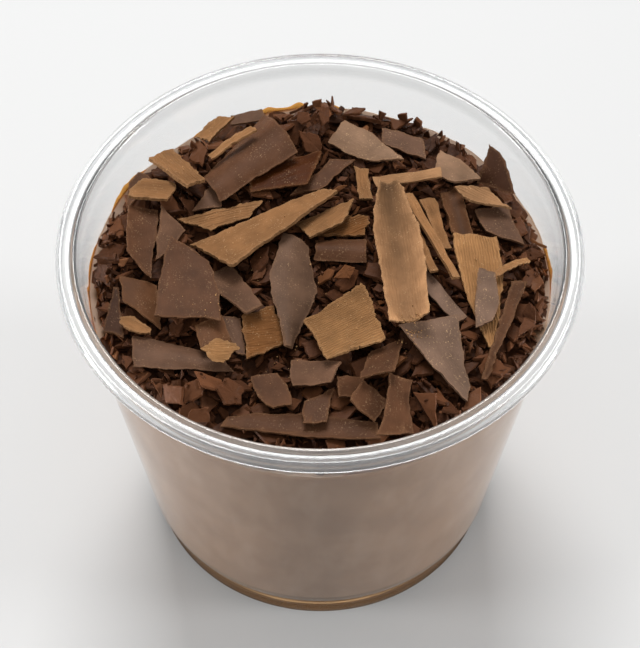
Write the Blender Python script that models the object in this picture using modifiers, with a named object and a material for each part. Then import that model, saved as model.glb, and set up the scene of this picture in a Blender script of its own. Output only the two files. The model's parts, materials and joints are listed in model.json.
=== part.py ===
"""Chocolate mousse in a clear plastic dessert cup, under a pile of chocolate shavings.

The origin is the centre of the foot ring, with +Z up out of the cup's mouth.
Lengths are written in millimetres and scaled once, by MM.
"""

import math
import random
from typing import NamedTuple

import bmesh
import bpy
import numpy as np
from mathutils import Vector, noise

MM = 0.001
COLLECTION = "chocolate_mousse"

# Cup: a 75 mm tapered cup with a turned-down lip and a stepped foot.
RIM_RADIUS = 37.5
CUP_HEIGHT = 59.5
MOUTH_RADIUS = 34.5
LIP_DROP = 1.6
LIP_THICKNESS = 0.5
WALL = 0.75
WALL_TOP_RADIUS = 35.0
FOOT_TOP_RADIUS = 27.9
FOOT_HEIGHT = 5.6
FOOT_STEP = 0.45
BASE_RADIUS = 26.8
FOOT_RING = 1.4
BASE_RECESS = 0.9
FLOOR_THICKNESS = 1.0
TURNS = 64

# Contents.
GAP = 0.3
MOUSSE_LEVEL = 50.9
CHIP_DEPTH = 1.9
CHIP_LUMP = 0.5
CHIP_LUMP_SIZE = 5.0
CHIP_CELLS = 20

# Settling of the shavings: a height map of the pile, and how far a plate may tip.
CELL = 0.25
MAP_REACH = 36.0
SAMPLE_STEP = 0.2
STEEPEST_REST = 0.42
FINEST_TILT = 0.004
REACH = 32.5

TONES = {
    "dark": (0.055, 0.030, 0.024),
    "smooth": (0.130, 0.080, 0.060),
    "grey": (0.225, 0.150, 0.115),
    "tan": (0.340, 0.200, 0.095),
    "rust": (0.200, 0.095, 0.040),
}


class Shaving(NamedTuple):
    """One piece cut from a block of chocolate: a tapered strip, seen from above."""

    name: str
    tone: str
    at: tuple
    heading: float
    length: float
    widths: tuple
    cuts: tuple = (0.0, 0.0)
    belly: float = 0.0
    trough: float = 0.0
    bow: float = 0.0
    thick: float = 0.8
    slope: tuple = None
    peak: float = None


# Lowest first. at: centre. widths and cuts: tail, then head; a cut is how far the left
# corner leads the right one. belly: extra width half-way. trough and bow: how far the
# long edges and the ends stand above the middle. slope: set where a piece can't lie down.
# peak: where the belly comes to a corner, on the pieces that have straight sides.
SHAVINGS = (
    Shaving("upright_right", "dark", (26.2, 17.5), 90, 6.5, (5.2, 1.0), (4.2, 0.5), slope=(0.8, 0.5)),
    Shaving("chip_back_left", "smooth", (-11.0, 29.0), 12, 5.5, (2.2, 2.2), (0.5, -0.5)),
    Shaving("flake_left", "smooth", (-27.5, 15.0), -110, 5.5, (3.5, 1.5), (0.5, 3.0)),
    Shaving("dark_strip", "dark", (-29.0, -8.0), 90, 8.0, (2.8, 0.8), (1.0, 0.0)),
    Shaving("front_plate", "smooth", (-2.5, -27.5), -5, 21.0, (1.5, 2.5), (1.0, -0.5), belly=1.5),
    Shaving("front_chunk", "smooth", (-0.5, -25.5), 22, 4.0, (3.0, 5.0), (1.5, 3.0)),
    Shaving("front_square", "smooth", (4.0, -22.0), -90, 3.5, (3.7, 3.2), (-1.0, -1.0)),
    Shaving("front_slab", "smooth", (6.5, -24.5), -35, 4.5, (4.0, 4.5), (-0.5, -0.5)),
    Shaving("oval_plate", "smooth", (-6.5, -22.0), -65, 6.5, (3.5, 2.8), (1.0, 0.5), 1.4, peak=0.6),
    Shaving("spoon_plate", "smooth", (-0.8, -20.0), -15, 6.4, (4.5, 3.4), (-1.5, 0.5), trough=-0.5),
    Shaving("bottle_plate", "smooth", (10.5, -25.0), -95, 9.5, (3.2, 5.0), (0.0, -2.0), belly=-0.9),
    Shaving("back_plate", "smooth", (12.5, 24.0), -22, 6.8, (3.2, 3.8), (-1.0, -1.5)),
    Shaving("slate_scrap", "smooth", (0.5, 17.0), 48, 8.5, (2.2, 2.8), (-4.0, -3.0)),
    Shaving("left_wedge", "grey", (-16.0, 12.5), 65, 4.0, (3.5, 2.2), (-2.5, 2.0)),
    Shaving("rust_ridges", "rust", (4.0, 7.5), 0, 5.5, (3.8, 3.8), (4.0, 1.0)),
    Shaving("dark_roll", "smooth", (3.0, 2.8), -5, 7.2, (3.0, 4.2), (-0.5, -0.5), trough=-0.9),
    Shaving("brown_leaf", "smooth", (-25.5, -6.2), -85, 6.0, (5.2, 4.8), (1.0, 4.0), trough=-0.4),
    Shaving("channel", "smooth", (20.0, 10.0), -80, 8.5, (3.4, 2.8), (-1.0, 1.0), trough=0.5),
    Shaving("grey_blade", "grey", (17.5, -6.0), -55, 9.0, (2.4, 2.0), (-3.5, 0.0)),
    Shaving("right_slate", "grey", (26.0, 8.2), -8, 5.2, (3.8, 7.5), (-2.0, -3.2)),
    Shaving("striated_plate", "rust", (-5.5, 17.0), 12, 10.0, (4.6, 6.5), (0.5, 3.5), trough=-0.4),
    Shaving("grey_strip", "smooth", (-12.0, -12.2), -75, 6.5, (2.8, 1.2), (1.5, 1.0)),
    Shaving("upright_tan", "tan", (6.5, 15.5), -85, 6.2, (1.9, 1.8), (0.5, 0.0), thick=1.0),
    Shaving("plate_left", "smooth", (-26.0, 4.5), -90, 11.5, (4.3, 3.8), (0.5, 4.5)),
    Shaving("plate_left_inner", "smooth", (-22.2, 4.2), -100, 8.5, (4.2, 1.2), (3.0, -2.0)),
    Shaving("low_trough", "smooth", (-19.5, -16.2), -8, 13.0, (5.4, 2.5), (-1.0, -2.5), trough=-0.8),
    Shaving("brown_lump", "smooth", (-15.0, -13.2), -75, 4.8, (3.8, 4.2), (-1.5, 0.5), trough=-0.4),
    Shaving("rust_square", "rust", (-8.0, -12.0), -75, 6.8, (4.6, 6.8), (-1.0, -2.0)),
    Shaving("tan_bark", "tan", (-16.0, 26.5), 52, 5.0, (2.4, 3.3), (0.0, -0.5)),
    Shaving("big_roll", "smooth", (-11.0, 19.0), 45, 14.5, (5.6, 9.5), (2.0, 2.5), trough=-1.3),
    Shaving("tan_blade", "tan", (-14.0, 9.2), 18, 9.5, (3.6, 2.2), (-4.0, 2.5)),
    Shaving("crumbly_tan", "tan", (1.0, 7.5), 28, 7.5, (4.4, 4.0), (-0.5, 4.0)),
    Shaving("mid_slab", "smooth", (-12.0, -5.5), -58, 11.0, (4.8, 2.8), (0.5, 0.0)),
    Shaving("large_slab", "smooth", (-18.5, -5.4), -90, 12.5, (5.2, 9.2), (5.0, 0.5), 1.0, -0.5),
    Shaving("tan_leaf", "tan", (-26.0, -11.2), -22, 4.8, (1.2, 0.8), (-0.5, -0.5), belly=1.4),
    Shaving("tan_end", "tan", (-14.0, -16.5), -25, 3.5, (2.0, 3.0), (1.0, 1.0), belly=0.5),
    Shaving("front_blade", "smooth", (8.5, -18.2), -105, 7.0, (3.8, 4.3), (-4.0, -2.5)),
    Shaving("tan_chip", "tan", (-24.5, 12.6), -10, 5.6, (4.6, 3.8), (1.0, 0.8), 0.6, thick=1.2),
    Shaving("tan_block", "tan", (-21.0, 16.6), -55, 10.0, (4.3, 3.6), (-0.8, -0.3), thick=1.4),
    Shaving("back_stick", "tan", (-13.0, 21.2), 32, 7.8, (1.2, 1.6), bow=-0.4, thick=0.9),
    Shaving("stick_three", "tan", (15.0, 2.0), -75, 9.0, (1.3, 1.1), thick=1.1),
    Shaving("stick_two", "tan", (17.0, 7.8), -75, 9.5, (2.3, 1.3), (0.5, 0.5), thick=1.1),
    Shaving("stick_one", "tan", (16.0, 4.0), -70, 18.5, (1.6, 1.1), thick=1.1),
    Shaving("pale_plate", "grey", (19.8, 17.2), -50, 6.8, (3.8, 3.6), (-3.0, 1.8), 1.4, peak=0.4),
    Shaving("pale_wedge", "grey", (6.5, 22.8), -40, 10.5, (4.8, 2.5), (-0.5, 3.2), 1.2, peak=0.4),
    Shaving("curled_tan", "tan", (23.5, 11.7), 0, 5.5, (3.2, 4.2), (-2.2, -3.2), trough=0.6),
    Shaving("ribbed_square", "tan", (3.5, -12.2), 38, 10.4, (8.2, 11.5), (2.5, 5.0), thick=1.0),
    Shaving("grey_triangle", "grey", (17.5, -17.0), -65, 12.5, (8.8, 1.5), (1.0, -2.0), thick=1.2),
    Shaving("ridged_plate", "tan", (23.2, -4.6), -85, 19.0, (6.6, 1.2), (0.5, 0.0), 1.6, peak=0.4),
    Shaving("thin_stick", "tan", (27.0, -0.8), 38, 7.2, (1.0, 0.9), bow=-0.5),
    Shaving("over_flake", "grey", (23.5, -7.0), -95, 8.5, (2.6, 2.2), (1.0, -1.5), 1.2, peak=0.6),
    Shaving("tall_stick", "tan", (25.5, -11.8), -110, 17.5, (2.0, 0.9), (-1.0, 0.0), bow=-0.8, thick=1.3),
    Shaving("pale_bar", "grey", (13.0, 15.4), -3, 9.8, (1.8, 1.5), (-0.8, 0.0), thick=1.2),
    Shaving("kite", "grey", (-4.0, -5.5), -92, 19.5, (3.4, 0.4), (1.5, 0.5), 4.8, -0.5, peak=0.45),
    Shaving("wide_plate", "tan", (11.25, 0.4), -85, 27.2, (3.3, 5.7), (0.0, -0.6), 2.6, 0.6, peak=0.4),
    Shaving("long_wedge", "tan", (-7.0, 6.4), 36, 21.0, (9.0, 2.4), (-1.0, -1.5), thick=1.2),
)

LONG_SPLITS = 5
CROSS_SPLITS = 3
WIDE = 2.4
RAGGED = 0.12


def clear_scene():
    for item in list(bpy.data.objects):
        bpy.data.objects.remove(item, do_unlink=True)


def make_material(name, colour, roughness, alpha=1.0):
    material = bpy.data.materials.new(name)
    material.use_nodes = True
    shader = material.node_tree.nodes["Principled BSDF"]
    shader.inputs["Base Color"].default_value = (*colour, 1.0)
    shader.inputs["Roughness"].default_value = roughness
    shader.inputs["Metallic"].default_value = 0.0
    shader.inputs["Alpha"].default_value = alpha
    material.diffuse_color = (*colour, alpha)
    return material


def add_object(collection, name, bm, material):
    mesh = bpy.data.meshes.new(name)
    bm.to_mesh(mesh)
    bm.free()
    mesh.materials.append(material)
    item = bpy.data.objects.new(name, mesh)
    collection.objects.link(item)
    return item


def add_turned(collection, name, profile, material):
    """Turn an open profile of (radius, height) points about Z into a closed body."""
    bm = bmesh.new()
    ring = [bm.verts.new((r * MM, 0.0, z * MM)) for r, z in profile]
    for first, second in zip(ring, ring[1:]):
        bm.edges.new((first, second))
    item = add_object(collection, name, bm, material)
    screw = item.modifiers.new("turn", "SCREW")
    screw.axis = "Z"
    screw.steps = TURNS
    screw.render_steps = TURNS
    screw.use_merge_vertices = True
    screw.merge_threshold = 0.00001
    screw.use_smooth_shade = True
    return item


def arc(centre, radius, start, stop, count):
    """Points of a round corner, with the angles in degrees from +X."""
    points = []
    for k in range(count + 1):
        angle = math.radians(start + (stop - start) * k / count)
        points.append((centre[0] + radius * math.cos(angle), centre[1] + radius * math.sin(angle)))
    return points


def outer_radius(z):
    """Radius of the cup's outside at a height between the foot and the lip."""
    share = (z - FOOT_HEIGHT) / (CUP_HEIGHT - LIP_DROP - FOOT_HEIGHT)
    return FOOT_TOP_RADIUS + (WALL_TOP_RADIUS - FOOT_TOP_RADIUS) * share


def inner_radius(z):
    """Radius of the cup's inside, which follows the foot's step as a soft bend."""
    if z >= FOOT_HEIGHT:
        return outer_radius(z) - WALL
    share = z / FOOT_HEIGHT
    return BASE_RADIUS + (outer_radius(FOOT_HEIGHT) - BASE_RADIUS) * share - WALL


def cup_profile():
    floor = BASE_RECESS + FLOOR_THICKNESS
    shelf = CUP_HEIGHT - LIP_THICKNESS
    corner = 0.6
    lip_inner = RIM_RADIUS - LIP_THICKNESS
    points = [(0.0, floor)]
    heel = inner_radius(floor + corner)
    points += arc((heel - corner, floor + corner), corner, -90, 0, 2)
    points += [(inner_radius(FOOT_HEIGHT), FOOT_HEIGHT), (inner_radius(shelf - 0.6), shelf - 0.6)]
    points += arc((MOUTH_RADIUS + 0.4, CUP_HEIGHT - 0.4), 0.4, 170, 90, 2)
    points += arc((RIM_RADIUS - 0.7, CUP_HEIGHT - 0.7), 0.7, 90, 0, 3)
    points += [(RIM_RADIUS, CUP_HEIGHT - LIP_DROP), (lip_inner, CUP_HEIGHT - LIP_DROP)]
    points += [(lip_inner, shelf - 0.1), (WALL_TOP_RADIUS + 0.4, shelf - 0.1)]
    points += [(WALL_TOP_RADIUS, shelf - 0.6), (FOOT_TOP_RADIUS, FOOT_HEIGHT)]
    points += [(FOOT_TOP_RADIUS - FOOT_STEP, FOOT_HEIGHT - FOOT_STEP)]
    points += arc((BASE_RADIUS - 0.4, 0.4), 0.4, 0, -90, 2)
    ring = BASE_RADIUS - 0.4 - FOOT_RING
    points += [(ring, 0.0), (ring - BASE_RECESS, BASE_RECESS), (0.0, BASE_RECESS)]
    return points


def mousse_profile():
    """The mousse fills the cup, a gap clear of its floor and wall."""
    floor = BASE_RECESS + FLOOR_THICKNESS + GAP
    corner = 0.6
    heel = inner_radius(floor + corner) - GAP
    points = [(0.0, MOUSSE_LEVEL), (inner_radius(MOUSSE_LEVEL) - GAP, MOUSSE_LEVEL)]
    points += [(inner_radius(FOOT_HEIGHT) - GAP, FOOT_HEIGHT)]
    points += arc((heel - corner, floor + corner), corner, 0, -90, 2)
    points += [(0.0, floor)]
    return points


def chip_top(x, y):
    """Height of the bed of small chips, which is lumpy and a little lower at the wall."""
    lump = noise.noise(Vector((x / CHIP_LUMP_SIZE, y / CHIP_LUMP_SIZE, 1.7)))
    edge = (math.hypot(x, y) / MOUTH_RADIUS) ** 4
    return MOUSSE_LEVEL + GAP + CHIP_DEPTH + CHIP_LUMP * lump - 0.4 * edge


def add_chip_bed(collection, material):
    """A round slab with an uneven top: a square grid drawn out into a disc."""
    bottom = MOUSSE_LEVEL + GAP
    radius = inner_radius(bottom) - GAP
    bm = bmesh.new()
    bmesh.ops.create_grid(bm, x_segments=CHIP_CELLS, y_segments=CHIP_CELLS, size=1.0)
    for vert in bm.verts:
        u, v = vert.co.x, vert.co.y
        x = radius * u * math.sqrt(1.0 - v * v / 2.0)
        y = radius * v * math.sqrt(1.0 - u * u / 2.0)
        vert.co = Vector((x, y, chip_top(x, y))) * MM
    base = bmesh.ops.extrude_face_region(bm, geom=bm.faces[:], use_keep_orig=True)
    for vert in (v for v in base["geom"] if isinstance(v, bmesh.types.BMVert)):
        vert.co.z = bottom * MM
    flat = [f for f in base["geom"] if isinstance(f, bmesh.types.BMFace)]
    bmesh.ops.dissolve_faces(bm, faces=flat)
    bmesh.ops.recalc_face_normals(bm, faces=bm.faces[:])
    return add_object(collection, "chip_bed", bm, material)


def swell(shaving, u):
    """The share of the belly at u: a smooth bulge, or a corner at the peak."""
    if shaving.peak is None:
        return 4 * u * (1 - u)
    return u / shaving.peak if u < shaving.peak else (1 - u) / (1 - shaving.peak)


def outline_point(shaving, u, v):
    """A point of the strip in plan: u is 0 at the tail and 1 at the head, v is -0.5 to 0.5."""
    tail_cut, head_cut = shaving.cuts
    width = shaving.widths[0] * (1 - u) + shaving.widths[1] * u + shaving.belly * swell(shaving, u)
    along = (u - 0.5) * shaving.length + (tail_cut * (1 - u) + head_cut * u) * v
    angle = math.radians(shaving.heading)
    across = v * width
    x = shaving.at[0] + along * math.cos(angle) - across * math.sin(angle)
    y = shaving.at[1] + along * math.sin(angle) + across * math.cos(angle)
    pull = min(1.0, REACH / math.hypot(x, y))
    return x * pull, y * pull


def curl(shaving, u, v):
    return shaving.trough * (2 * v) ** 2 + shaving.bow * (2 * u - 1) ** 2


def sample(shaving):
    """Points over the strip, close enough together to find everything beneath it."""
    long_count = max(3, int(shaving.length / SAMPLE_STEP))
    widest = max(shaving.widths) + abs(shaving.belly)
    cross_count = max(3, int(widest / SAMPLE_STEP))
    rows = []
    for i in range(long_count + 1):
        for j in range(cross_count + 1):
            u, v = i / long_count, j / cross_count - 0.5
            rows.append((*outline_point(shaving, u, v), curl(shaving, u, v)))
    return np.array(rows).T


def cells_of(x, y):
    return ((y + MAP_REACH) / CELL).astype(int), ((x + MAP_REACH) / CELL).astype(int)


def spread(height_map):
    """Raise each cell to its highest neighbour, so that a rest is clear on every side."""
    padded = np.pad(height_map, 1, mode="edge")
    rows, columns = height_map.shape
    shifts = [padded[i:i + rows, j:j + columns] for i in range(3) for j in range(3)]
    return np.max(shifts, axis=0)


def first_map():
    """The bed of chips as a height map."""
    count = int(2 * MAP_REACH / CELL)
    middles = (np.arange(count) + 0.5) * CELL - MAP_REACH
    return np.array([[chip_top(x, y) for x in middles] for y in middles])


def drop(shaving, x, y, lift, floor, slope):
    """Height of the shaving's centre where its underside first meets what lies below."""
    tilt = slope[0] * (x - shaving.at[0]) + slope[1] * (y - shaving.at[1])
    half = 0.5 * shaving.thick * math.sqrt(1.0 + slope[0] ** 2 + slope[1] ** 2)
    return float(np.max(floor - tilt - lift)) + half + GAP


def settle(shaving, height_map):
    """Slope and height at rest: of all tilts, the one that lets the centre sink lowest."""
    x, y, lift = sample(shaving)
    floor = spread(height_map)[cells_of(x, y)]
    if shaving.slope:
        slope = shaving.slope
        level = drop(shaving, x, y, lift, floor, slope)
    else:
        slope = (0.0, 0.0)
        level = drop(shaving, x, y, lift, floor, slope)
        step = STEEPEST_REST / 2
        while step > FINEST_TILT:
            better = None
            for k in range(16):
                turn = math.tau * k / 16
                trial = (slope[0] + step * math.cos(turn), slope[1] + step * math.sin(turn))
                if math.hypot(*trial) <= STEEPEST_REST:
                    found = drop(shaving, x, y, lift, floor, trial)
                    if found < level - 1e-6:
                        level, better = found, trial
            if better is None:
                step /= 2
            else:
                slope = better
    tilt = slope[0] * (x - shaving.at[0]) + slope[1] * (y - shaving.at[1])
    half = 0.5 * shaving.thick * math.sqrt(1.0 + slope[0] ** 2 + slope[1] ** 2)
    np.maximum.at(height_map, cells_of(x, y), level + tilt + lift + half)
    return slope, level


def add_shaving(collection, shaving, slope, level, material):
    """The strip as an open sheet, thickened by Solidify."""
    dice = random.Random(shaving.name)
    widest = max(shaving.widths) + max(shaving.belly, 0.0)
    cross = CROSS_SPLITS if widest > WIDE else 1
    bm = bmesh.new()
    bmesh.ops.create_grid(bm, x_segments=LONG_SPLITS, y_segments=cross, size=0.5)
    for vert in bm.verts:
        u, v = vert.co.x + 0.5, vert.co.y
        x, y = outline_point(shaving, u, v)
        if cross > 1:
            x += dice.uniform(-RAGGED, RAGGED)
            y += dice.uniform(-RAGGED, RAGGED)
        tilt = slope[0] * (x - shaving.at[0]) + slope[1] * (y - shaving.at[1])
        height = tilt + curl(shaving, u, v)
        vert.co = Vector((x - shaving.at[0], y - shaving.at[1], height)) * MM
    item = add_object(collection, shaving.name, bm, material)
    item.location = Vector((*shaving.at, level)) * MM
    solid = item.modifiers.new("thickness", "SOLIDIFY")
    solid.thickness = shaving.thick * MM
    solid.offset = 0.0
    return item


def main():
    clear_scene()
    collection = bpy.data.collections.new(COLLECTION)
    bpy.context.scene.collection.children.link(collection)
    clear = make_material("clear_plastic", (0.9, 0.92, 0.92), 0.05, alpha=0.3)
    add_turned(collection, "cup", cup_profile(), clear)
    mousse = make_material("mousse", (0.150, 0.085, 0.050), 0.6)
    add_turned(collection, "mousse", mousse_profile(), mousse)
    add_chip_bed(collection, make_material("chips", (0.060, 0.028, 0.018), 0.5))
    height_map = first_map()
    for shaving in SHAVINGS:
        slope, level = settle(shaving, height_map)
        material = make_material(shaving.name, TONES[shaving.tone], 0.55)
        add_shaving(collection, shaving, slope, level, material)


main()
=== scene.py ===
"""Looks for a chocolate mousse in a clear dessert cup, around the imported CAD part.

Lengths are in millimetres in the tables and functions here, and scaled once, by MM.
"""

import json
import math
import random

import bmesh
import bpy
import numpy as np
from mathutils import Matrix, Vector


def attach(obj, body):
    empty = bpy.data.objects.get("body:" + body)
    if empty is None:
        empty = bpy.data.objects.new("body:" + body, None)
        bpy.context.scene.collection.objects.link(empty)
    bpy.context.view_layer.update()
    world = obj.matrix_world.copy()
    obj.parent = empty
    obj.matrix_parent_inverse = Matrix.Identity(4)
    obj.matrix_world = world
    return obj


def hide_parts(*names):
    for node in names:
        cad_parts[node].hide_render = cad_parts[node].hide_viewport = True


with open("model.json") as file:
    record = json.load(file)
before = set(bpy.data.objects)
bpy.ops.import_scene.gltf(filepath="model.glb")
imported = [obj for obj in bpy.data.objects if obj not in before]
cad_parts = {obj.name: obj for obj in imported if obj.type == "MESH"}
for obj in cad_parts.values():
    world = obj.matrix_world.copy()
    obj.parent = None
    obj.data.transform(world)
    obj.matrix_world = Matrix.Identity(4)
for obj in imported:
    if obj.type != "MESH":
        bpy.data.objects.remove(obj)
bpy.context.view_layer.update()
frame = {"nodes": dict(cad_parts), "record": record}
SLOTS = {row["node"]: row["material_slot"] for row in frame["record"]["subparts"]}

MM = 0.001

# The cup, as in the CAD part.
RIM_RADIUS = 37.5
CUP_HEIGHT = 59.5
LIP_DROP = 1.6
WALL = 0.75
WALL_TOP_RADIUS = 35.0
FOOT_TOP_RADIUS = 27.9
FOOT_HEIGHT = 5.6
FOOT_STEP = 0.45
BASE_RADIUS = 26.8
FOOT_RING = 1.4
BASE_RECESS = 0.9
FLOOR_THICKNESS = 1.0
HEEL_ROUND = 0.6
LEDGE_ROUND = 0.28
BASE_ROUND = 0.45
TURNS = 256

# The lip: a bead round the mouth, a shallow groove, and a rounded edge turned down outside.
MOUTH_RADIUS = 34.93
MOUTH_BEAD = 0.5
GROOVE_START = 35.5
GROOVE_END = 35.95
GROOVE_DEPTH = 0.24
EDGE_RADIUS = 36.82
EDGE_ROUND = 0.68
LIP_THICKNESS = 0.5
TIP_ROUND = 0.16

# The contents.
MOUSSE_LEVEL = 50.9
MOUSSE_INTO_WALL = 0.12
MOUSSE_CREEP = 0.4
CORE_TOP = 52.3
CORE_LUMPS = 0.55
CORE_EDGE_DROP = 1.3
HEAP_LEVEL = 54.1
HEAP_LUMPS = 0.7
PILE_RADIUS = 32.7

# The height maps' cells, and how far they reach from the middle.
CELL = 0.25
MAP_REACH = 35.0


# ------------ noise and maps

def hashed(ix, iy, iz, seed):
    """A repeatable number from -1 to 1 for each lattice point."""
    n = ix.astype(np.uint32) * np.uint32(374761393)
    n = n + iy.astype(np.uint32) * np.uint32(668265263)
    n = n + iz.astype(np.uint32) * np.uint32(2246822519)
    n = n + np.uint32((seed * 3266489917) % 4294967296)
    n = (n ^ (n >> np.uint32(13))) * np.uint32(1274126177)
    n = n ^ (n >> np.uint32(16))
    return n.astype(np.float64) / 2147483647.5 - 1.0


def noise_at(points, size, seed=0):
    """Smooth noise from -1 to 1 at each point, with lumps of the given size."""
    scaled = np.asarray(points, float) / size
    base = np.floor(scaled).astype(np.int64)
    part = scaled - base
    part = part * part * (3.0 - 2.0 * part)
    total = np.zeros(len(scaled))
    for corner in range(8):
        step = np.array([corner & 1, (corner >> 1) & 1, (corner >> 2) & 1])
        weight = np.prod(np.where(step, part, 1.0 - part), axis=1)
        at = base + step
        total += weight * hashed(at[:, 0], at[:, 1], at[:, 2], seed)
    return total


def layered(points, size, octaves, seed=0):
    """Noise with finer lumps added, each half the size and strength of the last."""
    total = np.zeros(len(points))
    for k in range(octaves):
        total += noise_at(points, size / 2 ** k, seed + 17 * k) / 2 ** k
    return total


def flat_points(x, y):
    return np.stack([x, y, np.zeros_like(x)], axis=1)


def cells_of(x, y):
    return ((y + MAP_REACH) / CELL).astype(int), ((x + MAP_REACH) / CELL).astype(int)


def cell_of(x, y):
    return int((y + MAP_REACH) / CELL), int((x + MAP_REACH) / CELL)


def neighbours(grid, pick):
    """Each cell's highest or lowest neighbour, by pick, which is np.max or np.min."""
    padded = np.pad(grid, 1, mode="edge")
    rows, columns = grid.shape
    shifts = [padded[i:i + rows, j:j + columns] for i in range(3) for j in range(3)]
    return pick(shifts, axis=0)


# ------------ mesh helpers

def outer_radius(z):
    share = (z - FOOT_HEIGHT) / (CUP_HEIGHT - LIP_DROP - FOOT_HEIGHT)
    return FOOT_TOP_RADIUS + (WALL_TOP_RADIUS - FOOT_TOP_RADIUS) * share


def inner_radius(z):
    if z >= FOOT_HEIGHT:
        return outer_radius(z) - WALL
    share = z / FOOT_HEIGHT
    return BASE_RADIUS + (outer_radius(FOOT_HEIGHT) - BASE_RADIUS) * share - WALL


def arc(centre, radius, start, stop, count):
    """Points of a round corner, with the angles in degrees from the way out."""
    points = []
    for k in range(count + 1):
        angle = math.radians(start + (stop - start) * k / count)
        points.append((centre[0] + radius * math.cos(angle), centre[1] + radius * math.sin(angle)))
    return points


def add_piece(name, points, faces, material, smooth=True):
    """A mesh piece from points in millimetres, riding on the one body."""
    mesh = bpy.data.meshes.new(name)
    mesh.from_pydata((np.asarray(points) * MM).tolist(), [], faces)
    mesh.materials.append(material)
    mesh.polygons.foreach_set("use_smooth", [smooth] * len(mesh.polygons))
    mesh.update()
    piece = bpy.data.objects.new(name, mesh)
    bpy.context.scene.collection.objects.link(piece)
    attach(piece, "root")
    return piece


def add_attribute(piece, name, values):
    """A value or vector for each vertex, for the material to read."""
    values = np.asarray(values, np.float32)
    vector = values.ndim == 2
    layer = piece.data.attributes.new(name, "FLOAT_VECTOR" if vector else "FLOAT", "POINT")
    layer.data.foreach_set("vector" if vector else "value", values.ravel())


def turned(profile, turns=TURNS):
    """Points and faces of a profile of (radius, height) turned about Z."""
    points, rings, faces = [], [], []
    for radius, height in profile:
        count = 1 if radius < 1e-6 else turns
        rings.append((len(points), count))
        for k in range(count):
            angle = math.tau * k / turns
            points.append((radius * math.cos(angle), radius * math.sin(angle), height))
    for (a, count_a), (b, count_b) in zip(rings, rings[1:]):
        for k in range(turns):
            n = (k + 1) % turns
            low = (a,) if count_a == 1 else (a + k, a + n)
            high = (b,) if count_b == 1 else (b + n, b + k)
            faces.append(low + high)
    return np.array(points), faces


# ------------ materials

class Shader:
    """A small wrapper that adds nodes to a material and links or sets their inputs."""

    def __init__(self, name):
        self.material = bpy.data.materials.new(name)
        self.material.use_nodes = True
        self.tree = self.material.node_tree
        self.tree.nodes.clear()

    def add(self, kind, inputs=None, **settings):
        node = self.tree.nodes.new(kind)
        for key, value in settings.items():
            setattr(node, key, value)
        for key, value in (inputs or {}).items():
            if isinstance(value, bpy.types.NodeSocket):
                self.tree.links.new(value, node.inputs[key])
            else:
                node.inputs[key].default_value = value
        return node

    def place(self):
        return self.add("ShaderNodeTexCoord").outputs["Object"]

    def math(self, operation, first, second=0.0, clamp=False):
        node = self.add("ShaderNodeMath", {0: first, 1: second}, operation=operation, use_clamp=clamp)
        return node.outputs[0]

    def stretch(self, value, low, high, to_low=0.0, to_high=1.0):
        node = self.add("ShaderNodeMapRange", {
            "Value": value, "From Min": low, "From Max": high, "To Min": to_low, "To Max": to_high})
        return node.outputs[0]

    def mix(self, factor, first, second, blend="MIX"):
        node = self.add("ShaderNodeMix", {"Factor": factor}, data_type="RGBA", blend_type=blend)
        for socket, value in ((node.inputs[6], first), (node.inputs[7], second)):
            if isinstance(value, bpy.types.NodeSocket):
                self.tree.links.new(value, socket)
            else:
                socket.default_value = (*value, 1.0)
        return node.outputs[2]

    def noise(self, vector, scale, detail=3.0, roughness=0.55):
        node = self.add("ShaderNodeTexNoise", {
            "Vector": vector, "Scale": scale, "Detail": detail, "Roughness": roughness})
        return node.outputs["Fac"]

    def attribute(self, name, output="Fac"):
        return self.add("ShaderNodeAttribute", attribute_name=name).outputs[output]

    def bump(self, height, distance, strength=1.0):
        node = self.add("ShaderNodeBump", {
            "Height": height, "Distance": distance * MM, "Strength": strength})
        return node.outputs["Normal"]

    def finish(self, surface):
        self.add("ShaderNodeOutputMaterial", {"Surface": surface})
        return self.material


def scaled_colour(colour, factor):
    return tuple(min(1.0, c * factor) for c in colour)


# ------------ the cup

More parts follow.
